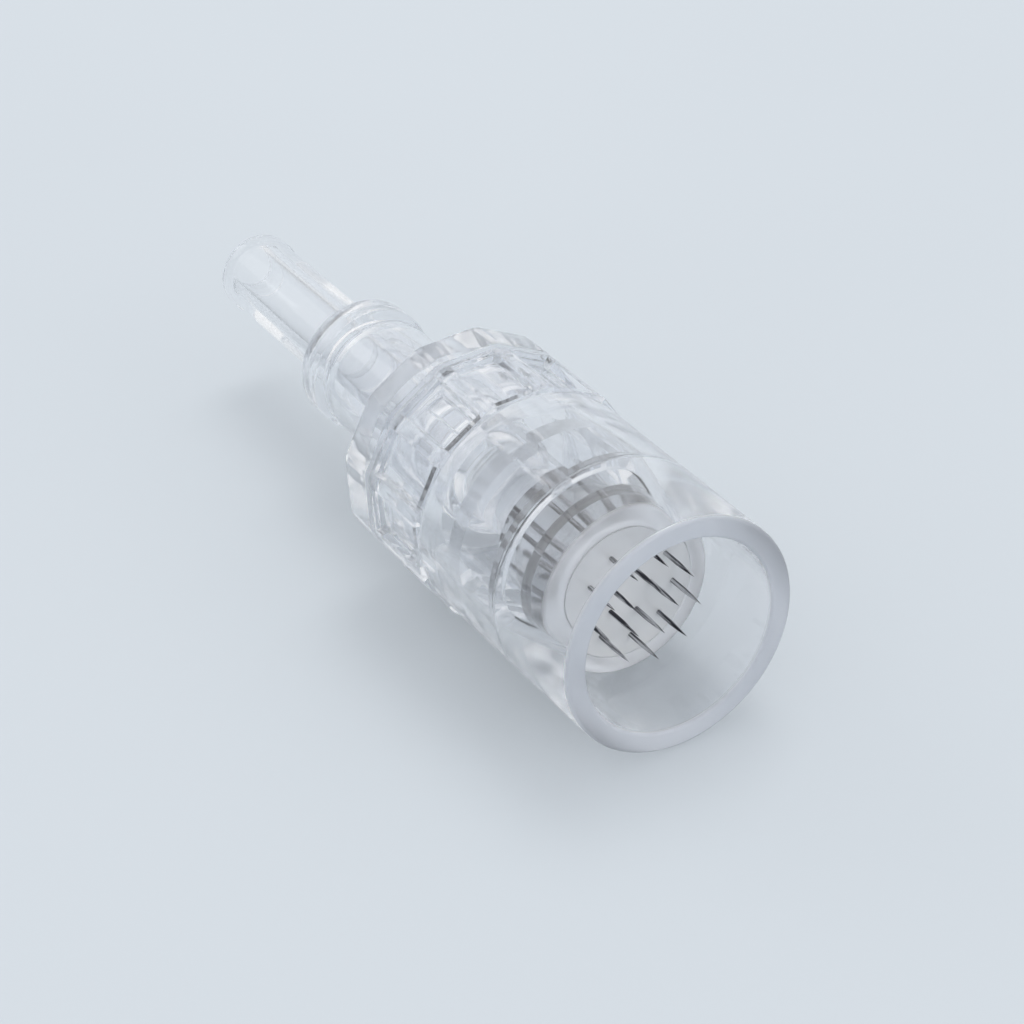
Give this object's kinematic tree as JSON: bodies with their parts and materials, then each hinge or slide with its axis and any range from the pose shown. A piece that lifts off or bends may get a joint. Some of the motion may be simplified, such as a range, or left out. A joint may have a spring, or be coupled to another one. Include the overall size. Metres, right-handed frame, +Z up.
{
  "type": "microneedling pen needle cartridge",
  "caption": "Clear needle cartridge with an open round nose, a faceted grip, a stepped neck and a hollow plunger that slides a round head of short steel needles out past the rim.",
  "frame": {"origin": "bottom centre of the whole part as it lies on one flat of its grip, so z = 0 is the surface it lies on", "axes": "+X along the part's axis towards the open nose and the needle tips, +Z up, +Y to the left when looking along +X"},
  "size_m": [0.045, 0.0132, 0.0132],
  "materials": {
    "clear_shell": "clear polycarbonate, polished, with faint flow marks",
    "clear_inner": "clear polycarbonate, polished",
    "clear_plate": "clear polycarbonate, satin",
    "cured_glue": "slightly cloudy cured glue",
    "needle_steel": "drawn and ground stainless steel"
  },
  "bodies": {
    "housing": {"nose_shell": "clear_shell", "rear_connector": "clear_shell", "guide_sleeve": "clear_inner"},
    "plunger": {"plunger_tube": "clear_inner", "needle_head": "clear_inner", "needle_plate": "clear_plate", "potting": "cured_glue", "needle_outer_1": "needle_steel", "needle_outer_2": "needle_steel", "needle_outer_3": "needle_steel", "needle_outer_4": "needle_steel", "needle_outer_5": "needle_steel", "needle_outer_6": "needle_steel", "needle_outer_7": "needle_steel", "needle_outer_8": "needle_steel", "needle_outer_9": "needle_steel", "needle_inner_1": "needle_steel", "needle_inner_2": "needle_steel", "needle_inner_3": "needle_steel", "needle_inner_4": "needle_steel", "needle_inner_5": "needle_steel"}
  },
  "joints": [
    {"name": "plunger_slide", "type": "slide", "parent": "housing", "child": "plunger", "axis": [1, 0, 0], "range_m": [0, 0.0047]}
  ]
}
